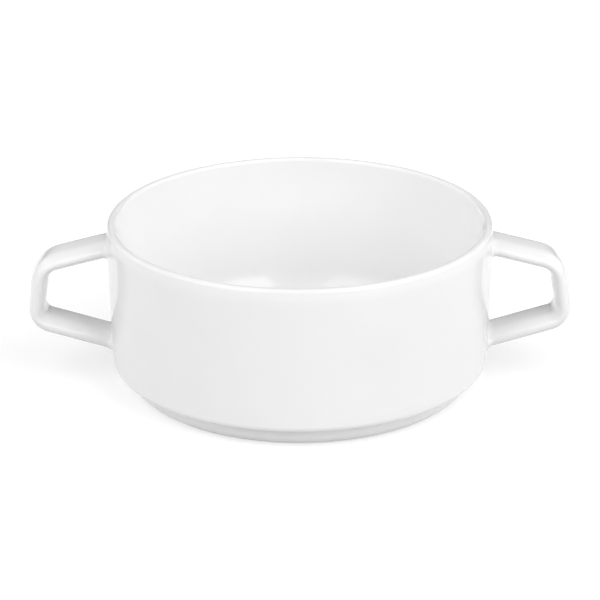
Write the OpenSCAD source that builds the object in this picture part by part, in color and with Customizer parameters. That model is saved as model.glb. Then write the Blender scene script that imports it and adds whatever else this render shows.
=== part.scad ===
// Lug soup bowl: a straight-sided bowl on a low stepped foot, with an angular loop lug on each side.
// The body is one formed piece of clay. Each lug is cast by itself and its ends are cut to the wall's
// curve. A joint of slip holds each end to the wall and softens the corner round it.
// Millimetres. The origin is on the table under the bowl's centre, +Z is up and the lugs lie along X.

/* [Bowl] */
// Diameter over the rim
rim_d = 116; // [106:1:130]
// Height from the table to the top of the lip
bowl_h = 50.6; // [45:0.1:62]
// Thickness of the wall at the lip, with the roll
lip_t = 2.8; // [2.4:0.1:3.6]
// How far below its top the lip starts to roll in
lip_roll_h = 3.4; // [2.5:0.1:4.2]
// How far the lip rolls in on its outside
lip_roll_in = 0.4; // [0.1:0.1:0.8]
// Thickness of the wall just above the cove
wall_t = 3.4; // [2.6:0.1:4.4]
// How far the outer wall leans in from the rim down to the lower corner
wall_lean = 0.9; // [0:0.1:2]
// Radius of the outer lower corner
corner_r = 2; // [1.2:0.1:3.5]
// How far the under-face rises from the foot out to the lower corner
under_rise = 2.6; // [1.5:0.1:3.4]
// Radius of the cove between the inner wall and the floor
cove_r = 9; // [5:0.5:14]
// Thickness of the floor
floor_t = 3.6; // [3:0.1:6]

/* [Foot] */
// Diameter of the foot
foot_d = 104.2; // [97:0.2:106]
// Height of the foot's outer side
foot_h = 4.4; // [3.8:0.1:5.4]
// Radius of the foot's outer lower edge
foot_edge_r = 3.2; // [1:0.1:3.3]
// Width of the foot between its outer edge's rounding and its hollow
land_w = 2.6; // [1.8:0.1:4]
// Depth of the hollow inside the foot
hollow_h = 2.2; // [1.6:0.1:3.4]
// How far the hollow's side leans in from the land
hollow_lean = 1.4; // [0.5:0.1:3]

/* [Lugs] */
// How far a lug's outer corner reaches from the wall
lug_reach = 25.5; // [20:0.1:32]
// How far the upper outer corner stands in from the lower one
lug_lean = 2.3; // [0:0.1:4]
// How far below the rim the upper bar's top meets the wall
lug_drop = 5.1; // [4:0.1:8]
// Height at which the lower bar's underside meets the wall
lug_low_h = 10.1; // [9.4:0.1:13]
// Fall of the upper bar away from the wall, in degrees
upper_fall = 14.4; // [4:0.1:18]
// Rise of the lower bar away from the wall, in degrees
lower_rise = 16.6; // [4:0.1:18]
// Thickness of the two bars
bar_t = 5.3; // [3.6:0.1:6.5]
// Thickness of the upright grip at its upper corner
grip_top_t = 4.9; // [3.6:0.1:6.5]
// Thickness of the upright grip at its lower corner
grip_low_t = 5.1; // [3.4:0.1:6]
// Width of the strap from front to back
strap_w = 15; // [12:0.5:20]
// Width of the strap's rounded edge
strap_edge_w = 5; // [1.5:0.1:5.9]
// How much thinner a bar is near its front and back edges than in its middle
strap_crown = 1; // [0:0.05:1.8]
// Radius of the upper bend on its outside
upper_bend_r = 11; // [6:0.1:12]
// Radius of the upper bend on its inside
upper_inner_r = 3.9; // [2:0.1:6]
// Radius of the lower bend on its outside
lower_bend_r = 7.3; // [4:0.1:9]
// Radius of the lower bend on its inside
lower_inner_r = 2.9; // [1.5:0.1:4]

/* [Slip joints] */
// Thickness of the slip between a lug's end and the wall
slip_t = 0.4; // [0.3:0.05:0.8]
// How far a joint spreads over the wall above its bar
slip_top_rise = 0.5; // [0.3:0.1:1.5]
// How far a joint spreads over the wall below its bar, where the slip sags
slip_rise = 1; // [0.5:0.1:2]
// How far those two spreads run out along the bar
slip_rise_run = 1.5; // [1:0.1:2.5]
// How far a joint spreads over the wall in front of its bar and behind it
slip_spread = 2.2; // [1:0.1:4]
// How far that spread runs out along the bar
slip_spread_run = 2.4; // [1.5:0.1:4.5]

/* [Hidden] */
$fn = 180;

// Radius of the bend in which the lip's roll starts
lip_roll_r = 12;
// Shares of the lip's thickness that its outer and inner roundings take
lip_outer_share = 0.44;
lip_inner_share = 0.38;
// Radius of the glaze-softened corner where the under-face meets the foot
crease_r = 0.5;
// Radius of the hollow's inner corner
hollow_r = 1.6;
// Radius of the land's inner edge
land_edge_r = 0.6;
// Share of half a bar's thickness that the strap's rounded edge takes
edge_rise_share = 0.96;
// Thickness left at the outer end of a slip joint
slip_feather = 0.06;
// How fast a slip joint thins along the bar, as a power
slip_power = 2;
// How far a solid runs past what cuts it
overrun = 1.2;
// Segments in each rounding of the bowl's section, each bend of a lug, each strap edge and each strap face
section_steps = 10;
bend_steps = 12;
edge_steps = 6;
crown_steps = 4;
// Rings along a slip joint
slip_steps = 6;

rim_r = rim_d / 2;
foot_r = foot_d / 2;
wall_low_r = rim_r - wall_lean;
knee_z = foot_h + under_rise;
floor_z = hollow_h + floor_t;
land_in_r = foot_r - foot_edge_r - land_w;
lug_root_z = bowl_h - lug_drop;

// A bar is its centre line's root at the wall and its angle above level
upper_bar = [[wall_low_r, lug_root_z] - bar_t / 2 * bar_side(-upper_fall), -upper_fall];
lower_bar = [[wall_low_r, lug_low_h] + bar_t / 2 * bar_side(lower_rise), lower_rise];

function unit(v) = v / norm(v);
function half_turn(a) = a - 360 * round(a / 360);
function bar_along(angle) = [cos(angle), sin(angle)];
function bar_side(angle) = [-sin(angle), cos(angle)];

// Radius of the outer wall at a height
function wall_r(z) = wall_low_r + wall_lean * (z - knee_z) / (bowl_h - lip_roll_h - knee_z);

// Points of an arc of radius r that rounds the corner at b between a and c
function bend(a, b, c, r, steps) =
    let (to_a = unit(a - b), to_c = unit(c - b), half = acos(to_a * to_c) / 2)
    let (centre = b + unit(to_a + to_c) * r / sin(half))
    let (first = b + to_a * r / tan(half) - centre, last = b + to_c * r / tan(half) - centre)
    let (start = atan2(first[1], first[0]))
    let (turn = half_turn(atan2(last[1], last[0]) - start))
    [for (i = [0:steps]) let (t = start + turn * i / steps) centre + r * [cos(t), sin(t)]];

// An outline whose corners are [x, z, radius]
function place(corner) = [corner[0], corner[1]];
function rounded(corners, steps) = [
    for (i = [0:len(corners) - 1])
        each corners[i][2] == 0
            ? [place(corners[i])]
            : bend(place(corners[i - 1]), place(corners[i]), place(corners[i + 1]), corners[i][2], steps)
];

// The bowl's section, from the underside's centre round the foot, wall and lip to the floor's centre
bowl_section = rounded([
    [0, hollow_h, 0],
    [land_in_r - hollow_lean, hollow_h, hollow_r],
    [land_in_r, 0, land_edge_r],
    [foot_r, 0, foot_edge_r],
    [foot_r, foot_h, crease_r],
    [wall_low_r, knee_z, corner_r],
    [rim_r, bowl_h - lip_roll_h, lip_roll_r],
    [rim_r - lip_roll_in, bowl_h, lip_t * lip_outer_share],
    [rim_r - lip_t, bowl_h, lip_t * lip_inner_share],
    [wall_low_r - wall_t, floor_z, cove_r],
    [0, floor_z, 0]
], section_steps);

// A closed solid through rings of points, all with the same number of points
module loft(rings) {
    n = len(rings[0]);
    last = (len(rings) - 1) * n;
    sides = [
        for (k = [0:len(rings) - 2], i = [0:n - 1])
            let (a = k * n + i, b = k * n + (i + 1) % n)
            each [[a, b + n, b], [a, a + n, b + n]]
    ];
    caps = [[for (i = [0:n - 1]) i], [for (i = [n - 1:-1:0]) last + i]];
    polyhedron(points = [for (ring = rings) each ring], faces = concat(sides, caps));
}

// The strap's section: [y, share of half the thickness] all round
function strap_edge(width, edge_w) =
    let (flat = width / 2 - edge_w)
    let (front = [
        for (i = [0:edge_steps])
            let (t = 90 * i / edge_steps)
            [flat + edge_w * cos(t), 1 - edge_rise_share * (1 - sin(t))]
    ])
    let (top = [for (i = [1:crown_steps - 1]) [flat * (1 - 2 * i / crown_steps), 1]])
    let (back = [for (i = [edge_steps:-1:0]) [-front[i][0], front[i][1]]])
    let (upper = [
        for (p = concat(front, top, back)) [p[0], p[1] * (1 - strap_crown / bar_t * pow(2 * p[0] / width, 2))]
    ])
    concat(upper, -upper);

// The wall's cone, grown by a gap, for cutting a lug's ends to the wall's curve
module wall_cone(gap) {
    cylinder(h = bowl_h, r1 = wall_r(0) + gap, r2 = wall_r(bowl_h) + gap);
}

// The height of a bar's face at x, side 1 for its upper face and -1 for its lower
function bar_face_z(bar, side, x) =
    let (face = bar[0] + side * bar_t / 2 * bar_side(bar[1]))
    face[1] + (x - face[0]) * tan(bar[1]);

module right_lug_strap() {
    low_x = wall_low_r + lug_reach;
    top_x = low_x - lug_lean;
    root_x = wall_low_r - overrun;
    function side_line(out, grip_top, grip_low, r_top, r_low) = rounded([
        [root_x, bar_face_z(upper_bar, out, root_x), 0],
        [top_x - grip_top, bar_face_z(upper_bar, out, top_x - grip_top), r_top],
        [low_x - grip_low, bar_face_z(lower_bar, -out, low_x - grip_low), r_low],
        [root_x, bar_face_z(lower_bar, -out, root_x), 0]
    ], bend_steps);
    outer = side_line(1, 0, 0, upper_bend_r, lower_bend_r);
    inner = side_line(-1, grip_top_t, grip_low_t, upper_inner_r, lower_inner_r);
    difference() {
        loft([
            for (i = [0:len(outer) - 1]) [
                for (p = strap_edge(strap_w, strap_edge_w))
                    let (q = (outer[i] + inner[i]) / 2 + (outer[i] - inner[i]) / 2 * p[1])
                    [q[0], p[0], q[1]]
            ]
        ]);
        wall_cone(slip_t);
    }
}

// A ring round a bar, grown by a rise above and below it and by a spread in width
function bar_ring(bar, distance, rises, spread) =
    let (along = bar_along(bar[1]), side = bar_side(bar[1]), r = wall_r(bar[0][1]))
    [
        for (p = strap_edge(strap_w + 2 * spread, strap_edge_w + spread))
            let (h = (bar_t / 2 + rises[p[1] > 0 ? 0 : 1]) * p[1], wall_x = sqrt(r * r - p[0] * p[0]))
            let (s = (wall_x - bar[0][0] - h * side[0]) / along[0] + distance)
            let (q = bar[0] + s * along + h * side)
            [q[0], p[0], q[1]]
    ];

// What is left of a spread at a distance along its run
function thinned(full, run, distance) =
    slip_feather + (full - slip_feather) * pow(max(0, 1 - max(0, distance) / run), slip_power);

module right_slip_joint(bar) {
    run = max(slip_rise_run, slip_spread_run);
    difference() {
        loft([
            for (i = [-1:slip_steps])
                let (distance = i < 0 ? -overrun : run * i / slip_steps)
                bar_ring(
                    bar, distance,
                    [for (rise = [slip_top_rise, slip_rise]) thinned(rise, slip_rise_run, distance)],
                    thinned(slip_spread, slip_spread_run, distance)
                )
        ]);
        bowl_solid();
        difference() {
            loft([for (distance = [-2 * overrun, run + overrun]) bar_ring(bar, distance, [0, 0], 0)]);
            wall_cone(slip_t);
        }
    }
}

module bowl_solid() {
    rotate_extrude() polygon(bowl_section);
}

module bowl_body() {
    color("whitesmoke") bowl_solid();
}

module right_lug() {
    color("white") right_lug_strap();
}

module left_lug() {
    color("white") mirror([1, 0, 0]) right_lug_strap();
}

module right_upper_slip_joint() {
    color("snow") right_slip_joint(upper_bar);
}

module right_lower_slip_joint() {
    color("snow") right_slip_joint(lower_bar);
}

module left_upper_slip_joint() {
    color("snow") mirror([1, 0, 0]) right_slip_joint(upper_bar);
}

module left_lower_slip_joint() {
    color("snow") mirror([1, 0, 0]) right_slip_joint(lower_bar);
}

bowl_body();
left_lug();
right_lug();
left_upper_slip_joint();
left_lower_slip_joint();
right_upper_slip_joint();
right_lower_slip_joint();
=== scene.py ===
"""Lug soup bowl: the looks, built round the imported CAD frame.

Sizes are written in millimetres as the part's source has them, and turned into metres as each mesh is made.
+Z is up, the lugs lie along X, and the camera looks along +Y.
"""

import math

import bpy
import numpy as np
from mathutils import Matrix, Vector


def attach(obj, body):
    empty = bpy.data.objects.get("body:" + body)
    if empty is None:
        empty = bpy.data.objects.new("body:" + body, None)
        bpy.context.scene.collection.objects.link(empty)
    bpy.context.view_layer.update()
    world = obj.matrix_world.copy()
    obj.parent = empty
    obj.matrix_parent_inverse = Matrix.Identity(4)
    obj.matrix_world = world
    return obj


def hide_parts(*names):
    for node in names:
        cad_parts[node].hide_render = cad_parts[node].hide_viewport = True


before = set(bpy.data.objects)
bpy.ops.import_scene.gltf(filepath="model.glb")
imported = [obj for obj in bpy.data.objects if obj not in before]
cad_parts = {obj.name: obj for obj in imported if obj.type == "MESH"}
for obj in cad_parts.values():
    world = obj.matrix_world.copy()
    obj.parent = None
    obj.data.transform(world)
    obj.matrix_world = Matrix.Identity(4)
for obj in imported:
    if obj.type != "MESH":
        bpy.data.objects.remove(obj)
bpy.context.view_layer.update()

MM = 0.001

# Sizes in millimetres and angles in degrees, as in the part's source
RIM_R, BOWL_H = 58.0, 50.6
LIP_T, WALL_T, WALL_LEAN = 2.8, 3.4, 0.9
LIP_ROLL_H, LIP_ROLL_IN, LIP_ROLL_R = 3.4, 0.4, 12.0
CORNER_R, UNDER_RISE, COVE_R, FLOOR_T = 2.0, 2.6, 9.0, 3.6
FOOT_R, FOOT_H, FOOT_EDGE_R, LAND_W = 52.1, 4.4, 3.2, 2.6
HOLLOW_H, HOLLOW_LEAN = 2.2, 1.4
LUG_REACH, LUG_LEAN, LUG_DROP, LUG_LOW_H = 25.5, 2.3, 5.1, 10.1
UPPER_FALL, LOWER_RISE = 14.4, 16.6
BAR_T, GRIP_TOP_T, GRIP_LOW_T = 5.3, 4.9, 5.1
STRAP_W, STRAP_EDGE_W, STRAP_CROWN = 15.0, 5.0, 1.0
UPPER_BEND_R, UPPER_INNER_R = 11.0, 3.9
LOWER_BEND_R, LOWER_INNER_R = 7.3, 2.9
SLIP_T, SLIP_TOP_RISE, SLIP_RISE, SLIP_RISE_RUN = 0.4, 0.5, 1.0, 1.5
SLIP_SPREAD, SLIP_SPREAD_RUN = 2.2, 2.4
LIP_OUTER_SHARE, LIP_INNER_SHARE = 0.44, 0.38
CREASE_R, HOLLOW_R, LAND_EDGE_R = 0.5, 1.6, 0.6
EDGE_RISE_SHARE = 0.96

# Over what length the normals of the lug's outer and inner outline turn into a bend
OUTER_SOFT_REACH, INNER_SOFT_REACH = 3.0, 1.0

# How finely the shown meshes are made. A lead is the part of a bar next to a bend.
LATHE_SIDES = 288
SECTION_STEPS, SECTION_PITCH = 16, 2.2
BEND_STEPS, EDGE_STEPS, FLAT_STEPS = 24, 12, 6
BAR_STEPS, GRIP_STEPS, FILLET_STEPS = 14, 10, 14
LEAD_STEPS, LEAD_PITCH = 3, 1.0
REACH_ROUNDS = 8
SAME_SPOT = 1e-6
SMALL_TURN = 0.05

# The glaze: its colour and roughness wander between two values, and its surface has a slight wave.
# A noise is a scale and a detail. Lengths are in metres here.
GLAZE_IOR = 1.52
GLAZE_NOISE, GLAZE_DARK, GLAZE_PALE = (45, 3), (0.9, 0.9, 0.9), (0.916, 0.916, 0.916)
ROUGH_NOISE, ROUGH_LOW, ROUGH_HIGH = (120, 4), 0.02, 0.05
WAVE_NOISE, WAVE_HEIGHT, WAVE_STRENGTH = (55, 1), 0.00012, 0.5
NOISE_LOW, NOISE_HIGH = 0.3, 0.7

# The bare land: porcelain without glaze below a height that wanders a little
LAND_NOISE, LAND_WANDER = (260, 3), 0.00022
BARE_BELOW, GLAZED_ABOVE = 0.00001, 0.00007
CLAY_NOISE, CLAY_DARK, CLAY_PALE = (1400, 2), (0.80, 0.79, 0.765), (0.84, 0.83, 0.81)
CLAY_ROUGH = 0.62

# The floor, and the low black card round the set: lengths in metres, CARD_TOP in degrees above level
FLOOR_HALF, FLOOR_DROP, FLOOR_SHADE = 6.0, 0.00002, 0.62
FLOOR_ROUGH, FLOOR_SHINE, FLOOR_GLOW = 0.8, 0.2, 0.51
CARD_SIDES, CARD_R, CARD_TOP = 96, 1.5, 11
CARD_SHADE, CARD_ROUGH = 0.02, 0.9

# The studio's light at the horizon and overhead, and the elevations between which it changes
HORIZON_LIGHT, TOP_LIGHT = 0.25, 0.4
FADE_FROM, FADE_TO = 15, 85

# Each lamp's azimuth, half its width as an angle, its low and high edge's elevation and its radiance.
# Azimuth 0 is on the camera's side and 90 is on +X.
LAMP_DISTANCE = 1.0
LAMPS = {
    "softbox_right": (42.5, 19.5, 10, 68, 2.9),
    "softbox_left": (-42.5, 19.5, 10, 68, 2.12),
    "side_light_right": (100, 40, 3, 45, 1.05),
    "side_light_left": (-100, 40, 3, 45, 0.97),
}

# The camera as fitted to the photo: its angles, then its aim's height, its distance and its drop in
# millimetres, then its sensor and lens in millimetres. The clip distances are in metres.
CAMERA_AZIMUTH, CAMERA_ELEVATION, CAMERA_ROLL = -0.23, 22.244, -0.19
CAMERA_AIM_Z, CAMERA_DISTANCE, CAMERA_DROP = 25, 751, 0.68
SENSOR_W, LENS = 36, 148.41
CLIP_START, CLIP_END = 0.01, 50

WALL_LOW_R = RIM_R - WALL_LEAN
KNEE_Z = FOOT_H + UNDER_RISE
FLOOR_Z = HOLLOW_H + FLOOR_T
LAND_IN_R = FOOT_R - FOOT_EDGE_R - LAND_W
WALL_GROWTH = WALL_LEAN / (BOWL_H - LIP_ROLL_H - KNEE_Z)


def wall_r(z):
    return WALL_LOW_R + WALL_GROWTH * (z - KNEE_Z)


def unit(v):
    return v / np.linalg.norm(v)


# Outlines with their tangents
def bend(a, b, c, r, steps):
    """Points and tangents of an arc that rounds the corner at b."""
    to_a, to_c = unit(a - b), unit(c - b)
    half = math.acos(float(to_a @ to_c)) / 2
    centre = b + unit(to_a + to_c) * r / math.sin(half)
    first, last = b + to_a * r / math.tan(half) - centre, b + to_c * r / math.tan(half) - centre
    start = math.atan2(first[1], first[0])
    turn = (math.atan2(last[1], last[0]) - start + math.pi) % (2 * math.pi) - math.pi
    t = start + turn * np.arange(steps + 1) / steps
    points = centre + r * np.stack([np.cos(t), np.sin(t)], 1)
    tangents = math.copysign(1, turn) * np.stack([-np.sin(t), np.cos(t)], 1)
    return points, tangents


def spread(p, q, pitch):
    """Points strictly between p and q, about a pitch apart."""
    n = max(1, int(round(np.linalg.norm(q - p) / pitch)))
    return [p + (q - p) * k / n for k in range(1, n)]


def rounded(corners, steps, pitch):
    """Points and tangents of an open outline with corners [x, z, radius]."""
    spots = [np.array(c[:2], float) for c in corners]
    points, tangents = [], []
    for i, corner in enumerate(corners):
        if corner[2] == 0:
            along = unit(spots[1] - spots[0]) if i == 0 else unit(spots[-1] - spots[-2])
            arc, lines = [spots[i]], [along]
        else:
            arc, lines = bend(spots[i - 1], spots[i], spots[i + 1], corner[2], steps)
        if points:
            between = spread(points[-1], arc[0], pitch)
            points += between
            tangents += [unit(arc[0] - points[-1 - len(between)])] * len(between)
        points += list(arc)
        tangents += list(lines)
    return np.array(points), np.array(tangents)


# Meshes
def make_piece(name, points, normals, faces, material, node, slot):
    """A smooth piece with its own normals, which stands for a CAD node and rides with it."""
    mesh = bpy.data.meshes.new(name)
    mesh.from_pydata((points * MM).tolist(), [], faces)
    mesh.materials.append(material)
    mesh.polygons.foreach_set("use_smooth", [True] * len(mesh.polygons))
    mesh.update()
    mesh.normals_split_custom_set_from_vertices(normals.tolist())
    piece = bpy.data.objects.new(name, mesh)
    bpy.context.scene.collection.objects.link(piece)
    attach(piece, "root")
    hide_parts(node)


def lathe(section, tangents, sides):
    """Points, normals and faces of a section turned round Z. The section starts and ends on the axis."""
    turns = 2 * math.pi * np.arange(sides) / sides
    cos, sin = np.cos(turns), np.sin(turns)
    normal = np.stack([tangents[:, 1], -tangents[:, 0]], 1)
    inner, inner_n = section[1:-1], normal[1:-1]
    ring = lambda r, z: np.stack([r * cos, r * sin, np.full(sides, z)], 1)
    low, high = [[0, 0, section[0, 1]]], [[0, 0, section[-1, 1]]]
    points = np.concatenate([low] + [ring(r, z) for r, z in inner] + [high])
    normals = np.concatenate([[[0, 0, -1.0]]] + [ring(r, z) for r, z in inner_n] + [[[0, 0, 1.0]]])
    faces = []
    at = lambda k, i: 1 + k * sides + i % sides
    for i in range(sides):
        faces.append((0, at(0, i + 1), at(0, i)))
        faces.append((at(len(inner) - 1, i), at(len(inner) - 1, i + 1), len(points) - 1))
    for k in range(len(inner) - 1):
        faces += [(at(k, i), at(k, i + 1), at(k + 1, i + 1), at(k + 1, i)) for i in range(sides)]
    return points, normals, faces


def strap_section(width, edge_w):
    """The strap's section all round as y and share of half the thickness, with both derivatives."""
    rows = []
    flat = width / 2 - edge_w
    for n, (front, upper) in enumerate([(1, 1), (-1, 1), (-1, -1), (1, -1)]):
        turns = np.radians(90 * np.arange(EDGE_STEPS + 1) / EDGE_STEPS)
        away = 1 if front == upper else -1
        for t in turns[::away]:
            rows.append((
                front * (flat + edge_w * math.cos(t)),
                upper * (1 - EDGE_RISE_SHARE * (1 - math.sin(t))),
                -front * edge_w * math.sin(t) * away,
                upper * EDGE_RISE_SHARE * math.cos(t) * away,
                math.degrees(t),
            ))
        if n % 2 == 0:
            for k in range(1, FLAT_STEPS):
                rows.append((front * flat * (1 - 2 * k / FLAT_STEPS), upper, -front * flat, 0.0, 90.0))
    y, share, dy, dshare, t = np.array(rows).T
    crown = 1 - STRAP_CROWN / BAR_T * (2 * y / width) ** 2
    dcrown = -8 * STRAP_CROWN / BAR_T * y / width**2 * dy
    return np.stack([y, share * crown, dy, dshare * crown + share * dcrown, t], 1)


SECTION = strap_section(STRAP_W, STRAP_EDGE_W)
SECTION_COUNT = len(SECTION)
SHARE, SECTION_T = SECTION[:, 1], SECTION[:, 4]


def far_pairs():
    """Each section point's partner with the same y on the strap's other face."""
    partner = {}
    for i, row in enumerate(SECTION):
        for j, other in enumerate(SECTION):
            if abs(row[0] - other[0]) < SAME_SPOT and abs(row[1] + other[1]) < SAME_SPOT:
                partner[i] = j
    return partner


PARTNER = far_pairs()
UPPER_ROW = [i for i in range(SECTION_COUNT) if SHARE[i] > 0]


def cap_faces(first, flip):
    """Faces across a ring of section points that starts at index first."""
    faces = []
    for i, j in zip(UPPER_ROW[:-1], UPPER_ROW[1:]):
        face = (first + i, first + j, first + PARTNER[j], first + PARTNER[i])
        faces.append(face[::-1] if flip else face)
    return faces


def ring_faces(first, second, flip):
    """Faces between two rings of section points that start at the indices first and second."""
    faces = []
    for i in range(SECTION_COUNT):
        j = (i + 1) % SECTION_COUNT
        face = (first + i, first + j, second + j, second + i)
        faces.append(face[::-1] if flip else face)
    return faces


# Bars, lugs and slip
class Bar:
    """A straight bar of the lug: its centre line's root at the wall and its angle above level."""

    def __init__(self, root_z, angle, below):
        turn = math.radians(angle)
        self.along = np.array([math.cos(turn), math.sin(turn)])
        self.side = np.array([-math.sin(turn), math.cos(turn)])
        self.root = np.array([WALL_LOW_R, root_z]) - below * BAR_T / 2 * self.side

    def reach(self, y, h, gap):
        """Distance along the bar at which a line of it stands a gap off the wall."""
        s = np.zeros(len(y))
        for _ in range(REACH_ROUNDS):
            x = self.root[0] + s * self.along[0] + h * self.side[0]
            z = self.root[1] + s * self.along[1] + h * self.side[1]
            out = np.hypot(x, y)
            miss = out - wall_r(z) - gap
            s = s - miss / (x / out * self.along[0] - WALL_GROWTH * self.along[1])
        return s

    def at(self, y, h, s):
        """Points at a distance s along the bar, h off its centre line and y to the side."""
        x = self.root[0] + s * self.along[0] + h * self.side[0]
        z = self.root[1] + s * self.along[1] + h * self.side[1]
        return np.stack([x, y, z], 1)


UPPER_BAR = Bar(BOWL_H - LUG_DROP, -UPPER_FALL, 1)
LOWER_BAR = Bar(LUG_LOW_H, LOWER_RISE, -1)


def bar_face_z(bar, side, x):
    """The height of a bar's upper or lower face at x."""
    face = bar.root + side * BAR_T / 2 * bar.side
    return face[1] + (x - face[0]) * bar.along[1] / bar.along[0]


def softened(points, tangents, reach):
    """The tangents, averaged over a reach to both sides, so that highlights fade into a bend."""
    run = np.concatenate([[0], np.cumsum(np.linalg.norm(np.diff(points, axis=0), axis=1))])
    turn = np.unwrap(np.arctan2(tangents[:, 1], tangents[:, 0]))
    long_run = np.concatenate([[-reach], run, [run[-1] + reach]])
    long_turn = np.concatenate([turn[:1], turn, turn[-1:]])
    total = np.concatenate([[0], np.cumsum((long_turn[1:] + long_turn[:-1]) / 2 * np.diff(long_run))])
    mean = (np.interp(run + reach, long_run, total) - np.interp(run - reach, long_run, total)) / (2 * reach)
    return np.stack([np.cos(mean), np.sin(mean)], 1)


def lug_lines():
    """The lug's outer and inner outlines from bend to bend, matched point for point, with tangents."""
    low_x = WALL_LOW_R + LUG_REACH
    top_x = low_x - LUG_LEAN
    out = []
    for side, top_t, low_t, r_top, r_low, reach in (
        (1, 0, 0, UPPER_BEND_R, LOWER_BEND_R, OUTER_SOFT_REACH),
        (-1, GRIP_TOP_T, GRIP_LOW_T, UPPER_INNER_R, LOWER_INNER_R, INNER_SOFT_REACH),
    ):
        a = np.array([WALL_LOW_R, bar_face_z(UPPER_BAR, side, WALL_LOW_R)])
        b = np.array([top_x - top_t, bar_face_z(UPPER_BAR, side, top_x - top_t)])
        c = np.array([low_x - low_t, bar_face_z(LOWER_BAR, -side, low_x - low_t)])
        d = np.array([WALL_LOW_R, bar_face_z(LOWER_BAR, -side, WALL_LOW_R)])
        p1, t1 = bend(a, b, c, r_top, BEND_STEPS)
        p2, t2 = bend(b, c, d, r_low, BEND_STEPS)
        steps = np.arange(1, GRIP_STEPS)[:, None] / GRIP_STEPS
        grip = p1[-1] + (p2[0] - p1[-1]) * steps
        grip_t = np.repeat([unit(p2[0] - p1[-1])], GRIP_STEPS - 1, 0)
        lead = np.arange(LEAD_STEPS, 0, -1)[:, None] * LEAD_PITCH
        first, last = p1[0] + unit(a - b) * lead, p2[-1] + unit(d - c) * lead[::-1]
        points = np.concatenate([first, p1, grip, p2, last])
        first_t, last_t = np.repeat(t1[:1], LEAD_STEPS, 0), np.repeat(t2[-1:], LEAD_STEPS, 0)
        out.append((points, softened(points, np.concatenate([first_t, t1, grip_t, t2, last_t]), reach)))
    return out


def ring_normals(travel, across):
    """Unit normals from the directions along and across a ring."""
    n = np.cross(travel, across)
    return n / np.linalg.norm(n, axis=1)[:, None]


def lug_mesh():
    """The right lug from wall to wall, as one closed shell."""
    (outer, outer_t), (inner, inner_t) = lug_lines()
    y, share, dy, dshare = SECTION[:, :4].T
    w_out, w_in = (1 + share) / 2, (1 - share) / 2
    pace = lambda line: np.linalg.norm(np.gradient(line, axis=0), axis=1)
    pace_out, pace_in = pace(outer), pace(inner)
    rings, normals = [], []
    for i in range(len(outer)):
        spot = w_out[:, None] * outer[i] + w_in[:, None] * inner[i]
        half = (outer[i] - inner[i]) / 2
        travel = w_out[:, None] * pace_out[i] * outer_t[i] + w_in[:, None] * pace_in[i] * inner_t[i]
        travel = np.stack([travel[:, 0], np.zeros(len(y)), travel[:, 1]], 1)
        across = np.stack([dshare * half[0], dy, dshare * half[1]], 1)
        rings.append(np.stack([spot[:, 0], y, spot[:, 1]], 1))
        normals.append(ring_normals(travel, across))
    ends = []
    for bar, side, near in ((UPPER_BAR, 1, rings[0]), (LOWER_BAR, -1, rings[-1])):
        h = side * share * BAR_T / 2
        wall = bar.at(y, h, bar.reach(y, h, SLIP_T))
        travel = np.repeat([[side * bar.along[0], 0, side * bar.along[1]]], len(y), 0)
        half = side * BAR_T / 2 * bar.side
        across = np.stack([dshare * half[0], dy, dshare * half[1]], 1)
        n = ring_normals(travel, across)
        steps = [wall + (near - wall) * k / BAR_STEPS for k in range(BAR_STEPS)]
        ends.append((steps, [n] * BAR_STEPS))
    rings = ends[0][0] + rings + ends[1][0][::-1]
    normals = ends[0][1] + normals + ends[1][1]
    faces = []
    for k in range(len(rings) - 1):
        faces += ring_faces(k * SECTION_COUNT, (k + 1) * SECTION_COUNT, True)
    faces += cap_faces(0, True) + cap_faces((len(rings) - 1) * SECTION_COUNT, False)
    return np.concatenate(rings), np.concatenate(normals), faces


def slip_ring(bar, phi):
    """A ring of the fillet round a bar: phi 0 lies on the wall and phi 90 on the bar."""
    fade = 1 - math.sin(math.radians(phi))
    away = np.cos(np.radians(SECTION_T)) ** 2
    out = SLIP_SPREAD * fade
    y, share = strap_section(STRAP_W + 2 * out, STRAP_EDGE_W + out)[:, :2].T
    h = share * (BAR_T / 2 + np.where(share > 0, SLIP_TOP_RISE, SLIP_RISE) * fade)
    run = SLIP_RISE_RUN + (SLIP_SPREAD_RUN - SLIP_RISE_RUN) * away
    distance = run * (1 - math.cos(math.radians(phi)))
    return bar.at(y, h, bar.reach(y, h, 0) + distance)


def slip_mesh(bar):
    """The slip between a bar's end and the wall with the fillet round it, as one closed shell."""
    phis = 90 * np.arange(FILLET_STEPS + 1) / FILLET_STEPS
    rings = [slip_ring(bar, phi) for phi in phis]
    normals = []
    for phi, ring in zip(phis, rings):
        low, high = max(0, phi - SMALL_TURN), min(90, phi + SMALL_TURN)
        travel = slip_ring(bar, high) - slip_ring(bar, low)
        if phi == 90:
            travel = np.repeat([[bar.along[0], 0, bar.along[1]]], SECTION_COUNT, 0)
        if phi == 0:
            travel = slip_ring(bar, SMALL_TURN) - ring
        across = np.roll(ring, -1, 0) - np.roll(ring, 1, 0)
        normals.append(ring_normals(travel, across))
    y, share = SECTION[:, 0], SHARE
    h = share * BAR_T / 2
    seat = bar.at(y, h, bar.reach(y, h, SLIP_T))
    tube_n = -normals[-1]
    wall_n = np.repeat([[-1.0, 0, 0]], SECTION_COUNT, 0)
    points = rings + [rings[-1], seat, seat, rings[0]]
    all_normals = normals + [tube_n, tube_n, -wall_n, wall_n]
    n = SECTION_COUNT
    last = len(rings)
    faces = []
    for k in range(last - 1):
        faces += ring_faces(k * n, (k + 1) * n, True)
    faces += ring_faces(last * n, (last + 1) * n, True)
    faces += cap_faces((last + 2) * n, False) + cap_faces((last + 3) * n, True)
    return np.concatenate(points), np.concatenate(all_normals), faces


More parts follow.
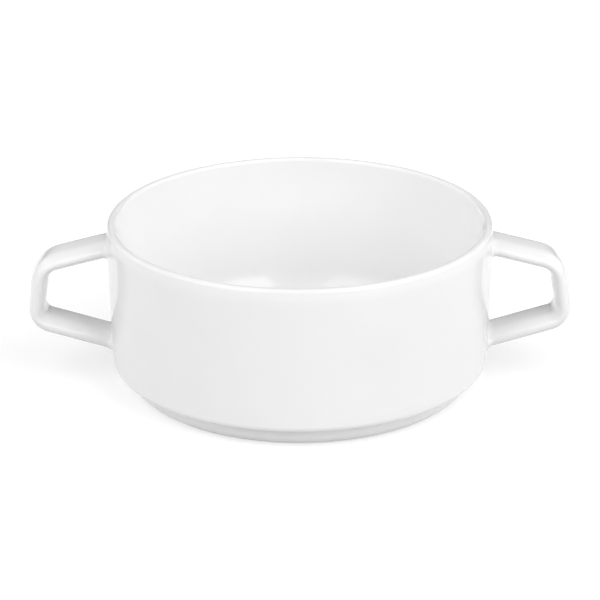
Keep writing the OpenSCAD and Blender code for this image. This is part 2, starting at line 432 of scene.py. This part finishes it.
def mirrored(points, normals, faces):
    """The mesh on the other side of the YZ plane."""
    flip = np.array([-1.0, 1, 1])
    return points * flip, normals * flip, [f[::-1] for f in faces]


# Materials
def glaze(name, with_land):
    """Glossy clear glaze over white porcelain. Where with_land is set, the foot's land is bare."""
    material = bpy.data.materials.new(name)
    material.use_nodes = True
    nodes, links = material.node_tree.nodes, material.node_tree.links
    shader = nodes["Principled BSDF"]
    shader.inputs["IOR"].default_value = GLAZE_IOR
    place = nodes.new("ShaderNodeTexCoord")

    def noise(scale, detail):
        node = nodes.new("ShaderNodeTexNoise")
        node.inputs["Scale"].default_value = scale
        node.inputs["Detail"].default_value = detail
        links.new(place.outputs["Object"], node.inputs["Vector"])
        return node.outputs["Fac"]

    def ramp(value, low, high):
        node = nodes.new("ShaderNodeValToRGB")
        for element, position, rgb in zip(node.color_ramp.elements, (NOISE_LOW, NOISE_HIGH), (low, high)):
            element.position, element.color = position, (*rgb, 1)
        links.new(value, node.inputs["Fac"])
        return node.outputs["Color"]

    def rescale(value, *limits):
        node = nodes.new("ShaderNodeMapRange")
        for socket, limit in zip(("From Min", "From Max", "To Min", "To Max"), limits):
            node.inputs[socket].default_value = limit
        links.new(value, node.inputs["Value"])
        return node.outputs["Result"]

    colour = ramp(noise(*GLAZE_NOISE), GLAZE_DARK, GLAZE_PALE)
    rough = rescale(noise(*ROUGH_NOISE), NOISE_LOW, NOISE_HIGH, ROUGH_LOW, ROUGH_HIGH)
    if with_land:
        parts = nodes.new("ShaderNodeSeparateXYZ")
        links.new(place.outputs["Object"], parts.inputs["Vector"])
        wander = nodes.new("ShaderNodeMath")
        wander.operation = "MULTIPLY_ADD"
        links.new(noise(*LAND_NOISE), wander.inputs[0])
        wander.inputs[1].default_value = -LAND_WANDER
        links.new(parts.outputs["Z"], wander.inputs[2])
        bare = rescale(wander.outputs["Value"], BARE_BELOW, GLAZED_ABOVE, 1, 0)
        clay = ramp(noise(*CLAY_NOISE), CLAY_DARK, CLAY_PALE)
        mix = nodes.new("ShaderNodeMix")
        mix.data_type = "RGBA"
        shade = lambda sockets, word: next(s for s in sockets if s.name == word and s.type == "RGBA")
        links.new(bare, mix.inputs["Factor"])
        links.new(colour, shade(mix.inputs, "A"))
        links.new(clay, shade(mix.inputs, "B"))
        colour = shade(mix.outputs, "Result")
        blend = nodes.new("ShaderNodeMix")
        blend.data_type = "FLOAT"
        links.new(bare, blend.inputs["Factor"])
        links.new(rough, blend.inputs["A"])
        blend.inputs["B"].default_value = CLAY_ROUGH
        rough = blend.outputs["Result"]
    links.new(colour, shader.inputs["Base Color"])
    links.new(rough, shader.inputs["Roughness"])
    wave = nodes.new("ShaderNodeBump")
    wave.inputs["Distance"].default_value = WAVE_HEIGHT
    wave.inputs["Strength"].default_value = WAVE_STRENGTH
    links.new(noise(*WAVE_NOISE), wave.inputs["Height"])
    links.new(wave.outputs["Normal"], shader.inputs["Normal"])
    return material


PORCELAIN = glaze("glazed_porcelain", True)
SLIP = glaze("glazed_slip", False)

# The pieces
bowl_corners = [
    [0, HOLLOW_H, 0],
    [LAND_IN_R - HOLLOW_LEAN, HOLLOW_H, HOLLOW_R],
    [LAND_IN_R, 0, LAND_EDGE_R],
    [FOOT_R, 0, FOOT_EDGE_R],
    [FOOT_R, FOOT_H, CREASE_R],
    [WALL_LOW_R, KNEE_Z, CORNER_R],
    [RIM_R, BOWL_H - LIP_ROLL_H, LIP_ROLL_R],
    [RIM_R - LIP_ROLL_IN, BOWL_H, LIP_T * LIP_OUTER_SHARE],
    [RIM_R - LIP_T, BOWL_H, LIP_T * LIP_INNER_SHARE],
    [WALL_LOW_R - WALL_T, FLOOR_Z, COVE_R],
    [0, FLOOR_Z, 0],
]
section, section_t = rounded(bowl_corners, SECTION_STEPS, SECTION_PITCH)
make_piece("bowl", *lathe(section, section_t, LATHE_SIDES), PORCELAIN, "bowl_body", "glazed_porcelain")

right_lug = lug_mesh()
make_piece("lug_right", *right_lug, PORCELAIN, "right_lug", "glazed_porcelain")
make_piece("lug_left", *mirrored(*right_lug), PORCELAIN, "left_lug", "glazed_porcelain")
for word, bar in (("upper", UPPER_BAR), ("lower", LOWER_BAR)):
    right_slip = slip_mesh(bar)
    make_piece(f"slip_right_{word}", *right_slip, SLIP, f"right_{word}_slip_joint", "glazed_slip")
    make_piece(f"slip_left_{word}", *mirrored(*right_slip), SLIP, f"left_{word}_slip_joint", "glazed_slip")


# The floor, the light and the camera
def background_rays(nodes, links):
    """1 on the rays that see the plain white background, 0 on the rays that light the bowl."""
    path = nodes.new("ShaderNodeLightPath")
    seen = path.outputs["Is Camera Ray"]
    for ray in ("Is Glossy Ray", "Is Transmission Ray"):
        add = nodes.new("ShaderNodeMath")
        add.operation = "ADD"
        add.use_clamp = True
        links.new(seen, add.inputs[0])
        links.new(path.outputs[ray], add.inputs[1])
        seen = add.outputs["Value"]
    return seen


def make_floor():
    """A pale floor that keeps the bowl's shadow and looks white."""
    corners = [(x * FLOOR_HALF, y * FLOOR_HALF, 0) for x, y in ((-1, -1), (1, -1), (1, 1), (-1, 1))]
    mesh = bpy.data.meshes.new("floor")
    mesh.from_pydata(corners, [], [(0, 1, 2, 3)])
    floor = bpy.data.objects.new("floor", mesh)
    floor.location.z = -FLOOR_DROP
    bpy.context.scene.collection.objects.link(floor)
    material = bpy.data.materials.new("floor")
    material.use_nodes = True
    nodes, links = material.node_tree.nodes, material.node_tree.links
    shader = nodes["Principled BSDF"]
    shader.inputs["Base Color"].default_value = (FLOOR_SHADE, FLOOR_SHADE, FLOOR_SHADE, 1)
    shader.inputs["Roughness"].default_value = FLOOR_ROUGH
    shader.inputs["Specular IOR Level"].default_value = FLOOR_SHINE
    seen = background_rays(nodes, links)
    glow = nodes.new("ShaderNodeMath")
    glow.operation = "MULTIPLY"
    links.new(seen, glow.inputs[0])
    glow.inputs[1].default_value = FLOOR_GLOW
    shader.inputs["Emission Color"].default_value = (1, 1, 1, 1)
    links.new(glow.outputs["Value"], shader.inputs["Emission Strength"])
    mesh.materials.append(material)


def make_black_card():
    """A low black card all round the set, for the dark edges in the glaze. The camera looks through it."""
    n, height = CARD_SIDES, CARD_R * math.tan(math.radians(CARD_TOP))
    turns = [2 * math.pi * i / n for i in range(n)]
    points = [(CARD_R * math.cos(t), CARD_R * math.sin(t), z) for z in (0, height) for t in turns]
    faces = [(i, (i + 1) % n, (i + 1) % n + n, i + n) for i in range(n)]
    mesh = bpy.data.meshes.new("black_card")
    mesh.from_pydata(points, [], faces)
    card = bpy.data.objects.new("black_card", mesh)
    card.visible_camera = False
    bpy.context.scene.collection.objects.link(card)
    material = bpy.data.materials.new("black_card")
    material.use_nodes = True
    shader = material.node_tree.nodes["Principled BSDF"]
    shader.inputs["Base Color"].default_value = (CARD_SHADE, CARD_SHADE, CARD_SHADE, 1)
    shader.inputs["Roughness"].default_value = CARD_ROUGH
    shader.inputs["Specular IOR Level"].default_value = 0
    mesh.materials.append(material)


def make_world():
    """A dim studio that is a little lighter overhead than round the horizon."""
    world = bpy.data.worlds.new("studio")
    bpy.context.scene.world = world
    world.use_nodes = True
    nodes, links = world.node_tree.nodes, world.node_tree.links
    place = nodes.new("ShaderNodeTexCoord")
    parts = nodes.new("ShaderNodeSeparateXYZ")
    links.new(place.outputs["Generated"], parts.inputs["Vector"])
    level = nodes.new("ShaderNodeMapRange")
    level.interpolation_type = "SMOOTHSTEP"
    level.inputs["From Min"].default_value = math.sin(math.radians(FADE_FROM))
    level.inputs["From Max"].default_value = math.sin(math.radians(FADE_TO))
    level.inputs["To Min"].default_value = HORIZON_LIGHT
    level.inputs["To Max"].default_value = TOP_LIGHT
    links.new(parts.outputs["Z"], level.inputs["Value"])
    links.new(level.outputs["Result"], nodes["Background"].inputs["Strength"])
    nodes["Background"].inputs["Color"].default_value = (1, 1, 1, 1)


def make_lamp(name, azimuth, half_angle, low, high, radiance):
    """An upright panel of even light."""
    turn = math.radians(azimuth)
    back = Vector((math.sin(turn), -math.cos(turn), 0))
    bottom, top = (LAMP_DISTANCE * math.tan(math.radians(edge)) for edge in (low, high))
    lamp = bpy.data.lights.new(name, "AREA")
    lamp.shape = "RECTANGLE"
    lamp.size, lamp.size_y = 2 * LAMP_DISTANCE * math.tan(math.radians(half_angle)), top - bottom
    lamp.energy = radiance * math.pi * lamp.size * lamp.size_y
    made = bpy.data.objects.new(name, lamp)
    made.location = back * LAMP_DISTANCE + Vector((0, 0, BOWL_H / 2 * MM + (bottom + top) / 2))
    made.rotation_mode = "QUATERNION"
    made.rotation_quaternion = back.to_track_quat("Z", "Y")
    made.visible_camera = False
    bpy.context.scene.collection.objects.link(made)


def make_camera():
    """The photo's camera."""
    azimuth, elevation, roll = map(math.radians, (CAMERA_AZIMUTH, CAMERA_ELEVATION, CAMERA_ROLL))
    level = math.cos(elevation)
    back = Vector((math.sin(azimuth) * level, -math.cos(azimuth) * level, math.sin(elevation)))
    right = Vector((math.cos(azimuth), math.sin(azimuth), 0))
    up = back.cross(right)
    rolled_right = right * math.cos(roll) + up * math.sin(roll)
    rolled_up = back.cross(rolled_right)
    aim = Vector((0, 0, CAMERA_AIM_Z * MM))
    place = aim + back * CAMERA_DISTANCE * MM - rolled_up * CAMERA_DROP * MM
    data = bpy.data.cameras.new("camera")
    data.sensor_width, data.lens = SENSOR_W, LENS
    data.clip_start, data.clip_end = CLIP_START, CLIP_END
    camera = bpy.data.objects.new("camera", data)
    camera.matrix_world = Matrix((
        (rolled_right.x, rolled_up.x, back.x, place.x),
        (rolled_right.y, rolled_up.y, back.y, place.y),
        (rolled_right.z, rolled_up.z, back.z, place.z),
        (0, 0, 0, 1),
    ))
    bpy.context.scene.collection.objects.link(camera)
    bpy.context.scene.camera = camera


make_floor()
make_black_card()
make_world()
for lamp_name, values in LAMPS.items():
    make_lamp(lamp_name, *values)
make_camera()

bpy.context.scene.view_settings.view_transform = "Standard"
